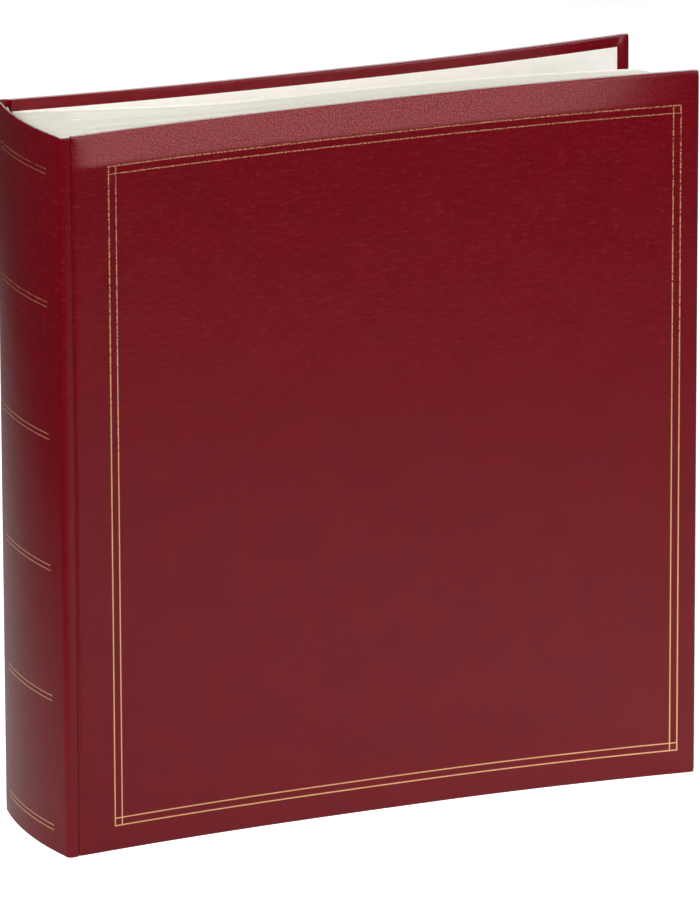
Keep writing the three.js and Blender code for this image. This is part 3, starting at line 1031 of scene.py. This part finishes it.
def make_leaf(index, draw):
    """One leaf: a creased card sheet with rounded fore-edge corners, trimmed a hair unevenly."""
    share = (index + 0.5) / LEAF_COUNT
    crease = crease_reach(share)
    end = LEAF_END_REACH - LEAF_END_RECESS * share**2 + draw.uniform(-1, 1) * LEAF_TRIM_SPREAD
    trim = draw.uniform(-1, 1) * LEAF_TRIM_SPREAD
    phase = draw.uniform(0, 2 * math.pi)
    length = draw.uniform(*LEAF_WAVE_LENGTHS)
    root = crease - LEAF_ROOT_GAP - draw.uniform(*LEAF_ROOT_SHARES) * LEAF_ROOT_SPREAD
    root_stations = np.linspace(root, crease - LEAF_ROOT_GAP, LEAF_STATIONS["root"])[:-1]
    stations = np.concatenate([root_stations, leaf_stations(crease, end)])
    ease = np.clip((stations - crease - LEAF_WAVE_START) / LEAF_WAVE_RISE, 0, 1)
    wave = LEAF_WAVE * ease * np.sin(2 * math.pi * stations / length + phase)
    sides = np.array([leaf_side(share, reach) for reach in stations]) + wave
    into_corner = np.clip(stations - (end - LEAF_CORNER), 0, LEAF_CORNER)
    cut = LEAF_CORNER - np.sqrt(np.maximum(LEAF_CORNER**2 - into_corner**2, 0))
    line = np.column_stack([stations, sides])
    lows = LEAF_TAIL + trim / 2 + cut
    highs = LEAF_HEAD + trim - cut
    sheet = ribbon(line, lows, highs, LEAF_THICKNESS, rows=LEAF_ROWS)
    name = leaf_name(index)
    is_flyleaf = name.endswith("flyleaf")
    leaf = dress(join(f"{name}_sheet", [sheet]), ENDPAPER if is_flyleaf else LEAF_CARD)
    number_sheet(leaf, share)
    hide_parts(name)
    side = leaf_side(share, crease)
    start, end_of_bend = (place(crease + step, side, 0) for step in (-LEAF_ROOT_GAP, LEAF_BEND))
    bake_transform(leaf, "spine", name, start=start, end=end_of_bend)


def make_leaves():
    draw = random.Random(LEAF_SEED)
    for index in range(LEAF_COUNT):
        make_leaf(index, draw)


# ---------------------------------------------------------------- guards

STRIPS_PER_GUARD = 18
STRIP_FILL = 0.9
STRIP_STAGGER = 0.6
STRIPS_PER_LEAF = 3
STRIP_TRIM = 0.12
STRIP_BACK_GAP = 0.1
STRIP_STEPS = 6
STRIP_EASE = 1.5
GUARD_SEED = 6


def make_guard(index, draw):
    """A packet of folded card strips between the back and the leaves' creases."""
    parts = []
    radius = SPINE_RADIUS - GUARD_DEPTH
    for strip in range(STRIPS_PER_GUARD):
        share = (index + (strip + 0.5) / STRIPS_PER_GUARD) / GUARD_COUNT
        back_side = -GUARD_HALF + 2 * GUARD_HALF * share
        back = SPINE_CENTRE - math.sqrt(radius**2 - back_side**2) + STRIP_BACK_GAP
        front = crease_reach(share) - GUARD_CREASE_GAP - draw.uniform(0, STRIP_STAGGER)
        if strip % STRIPS_PER_LEAF == 1:
            front -= LEAF_ROOT_SPREAD
        front_side = leaf_side(share, crease_reach(share))
        line = []
        for step in np.linspace(0, 1, STRIP_STEPS + 1):
            ease = step**STRIP_EASE
            line.append((back + (front - back) * step, back_side + (front_side - back_side) * ease))
        pitch = 2 * GUARD_HALF / GUARD_COUNT / STRIPS_PER_GUARD
        low = LEAF_TAIL + draw.uniform(0, STRIP_TRIM)
        high = LEAF_HEAD - draw.uniform(0, STRIP_TRIM)
        parts.append(ribbon(line, low, high, pitch * STRIP_FILL))
    guard = dress(join(f"guard_strips_{index + 1}", parts), SHADED_GUARD_CARD)
    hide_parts(f"guard_{index + 1}")
    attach(guard, "spine")


def make_guards():
    draw = random.Random(GUARD_SEED)
    for index in range(GUARD_COUNT):
        make_guard(index, draw)


# ---------------------------------------------------------------- studio

TABLE_RADIUS = 1.0
TABLE_THICKNESS = 0.001
TABLE_SIDES = 96


def make_table():
    """A round white table top under the album, with a thin rim."""
    points, faces = [(0.0, 0.0, 0.0)], []
    for height in (0.0, -TABLE_THICKNESS):
        for step in range(TABLE_SIDES):
            angle = 2 * math.pi * step / TABLE_SIDES
            points.append((TABLE_RADIUS * math.cos(angle), TABLE_RADIUS * math.sin(angle), height))
    for step in range(TABLE_SIDES):
        a = 1 + step
        b = 1 + (step + 1) % TABLE_SIDES
        faces.append((0, a, b))
        faces.append((a, a + TABLE_SIDES, b + TABLE_SIDES, b))
    table = dress(make_object("table_top", points, faces), floor_paper())


SOFTBOXES = (
    # name, position, target, size and power, in metres and watts
    ("top_softbox", (-0.05, 0.0, 1.7), (0, 0, 0), (1.3, 1.3), 6.5),
    ("front_right_softbox", (1.7, -1.9, 1.7), (0, 0, 0.15), (1.2, 1.2), 20),
    ("front_left_softbox", (-1.9, -1.6, 1.5), (0, 0, 0.15), (1.2, 1.2), 78),
    ("back_softbox", (1.2, 2.2, 1.5), (0, 0, 0.15), (1.2, 1.2), 14),
    ("head_band_softbox", (0.86, -1.84, 0.52), (0, 0, 0.3), (0.8, 0.2), 5.6),
)


def area_light(name, position, target, size, power):
    """A soft box that faces its target and isn't seen itself."""
    data = bpy.data.lights.new(name, "AREA")
    data.shape = "RECTANGLE"
    data.size, data.size_y = size
    data.energy = power
    light = bpy.data.objects.new(name, data)
    light.location = position
    direction = Vector(target) - Vector(position)
    light.rotation_euler = direction.to_track_quat("-Z", "Y").to_euler()
    light.visible_camera = False
    bpy.context.scene.collection.objects.link(light)


def make_lights():
    for softbox in SOFTBOXES:
        area_light(*softbox)


ROOM_FRONT = -0.35
ROOM_BACK = 0.6
ROOM_BACK_STRENGTH = 0.05


def make_world():
    """White to the camera; to light and gloss a room that is black in front and dim behind."""
    world = bpy.data.worlds.new("studio")
    world.use_nodes = True
    tree = world.node_tree
    background = tree.nodes["Background"]
    background.inputs["Color"].default_value = (1, 1, 1, 1)
    coordinates = tree.nodes.new("ShaderNodeTexCoord")
    split = tree.nodes.new("ShaderNodeSeparateXYZ")
    ramp = tree.nodes.new("ShaderNodeMapRange")
    ramp.inputs["From Min"].default_value = ROOM_FRONT
    ramp.inputs["From Max"].default_value = ROOM_BACK
    ramp.inputs["To Min"].default_value = 0.0
    ramp.inputs["To Max"].default_value = ROOM_BACK_STRENGTH
    path = tree.nodes.new("ShaderNodeLightPath")
    seen = tree.nodes.new("ShaderNodeMath")
    seen.operation = "MAXIMUM"
    tree.links.new(coordinates.outputs["Generated"], split.inputs[0])
    tree.links.new(split.outputs["Y"], ramp.inputs["Value"])
    tree.links.new(ramp.outputs[0], seen.inputs[0])
    tree.links.new(path.outputs["Is Camera Ray"], seen.inputs[1])
    tree.links.new(seen.outputs[0], background.inputs["Strength"])
    bpy.context.scene.world = world


CAMERA_TARGET = Vector((-0.0089, -0.0251, 0.164))
CAMERA_DISTANCE = 4.095
CAMERA_YAW = math.radians(23.2)
CAMERA_PITCH = math.radians(16.18)
CAMERA_ROLL = math.radians(-0.19)
CAMERA_LENS = 378.3
CAMERA_SENSOR = 36
CAMERA_CLIP = (0.1, 50)


def make_camera():
    """A long lens to the left of the front, a little above the album."""
    data = bpy.data.cameras.new("camera")
    data.lens = CAMERA_LENS
    data.sensor_width = CAMERA_SENSOR
    data.clip_start, data.clip_end = CAMERA_CLIP
    camera = bpy.data.objects.new("camera", data)
    ahead = Vector((
        math.sin(CAMERA_YAW) * math.cos(CAMERA_PITCH),
        math.cos(CAMERA_YAW) * math.cos(CAMERA_PITCH),
        -math.sin(CAMERA_PITCH),
    ))
    right = Vector((math.cos(CAMERA_YAW), -math.sin(CAMERA_YAW), 0))
    up = right.cross(ahead)
    turned_right = right * math.cos(CAMERA_ROLL) + up * math.sin(CAMERA_ROLL)
    turned_up = up * math.cos(CAMERA_ROLL) - right * math.sin(CAMERA_ROLL)
    camera.matrix_world = Matrix.Translation(CAMERA_TARGET - ahead * CAMERA_DISTANCE) @ Matrix(
        (turned_right, turned_up, -ahead)
    ).transposed().to_4x4()
    bpy.context.scene.collection.objects.link(camera)
    bpy.context.scene.camera = camera


# ---------------------------------------------------------------- the scene

dress_cad_nodes()
make_coverings()
make_front_frame()
make_spine_rules()
for cover_name, cover_facing in (("front", -1), ("rear", 1)):
    make_pastedown(cover_name, cover_facing)
    make_joint_paper(cover_name, cover_facing)
make_leaves()
make_guards()
make_table()
make_lights()
make_world()
make_camera()
bpy.context.scene.view_settings.view_transform = "Standard"
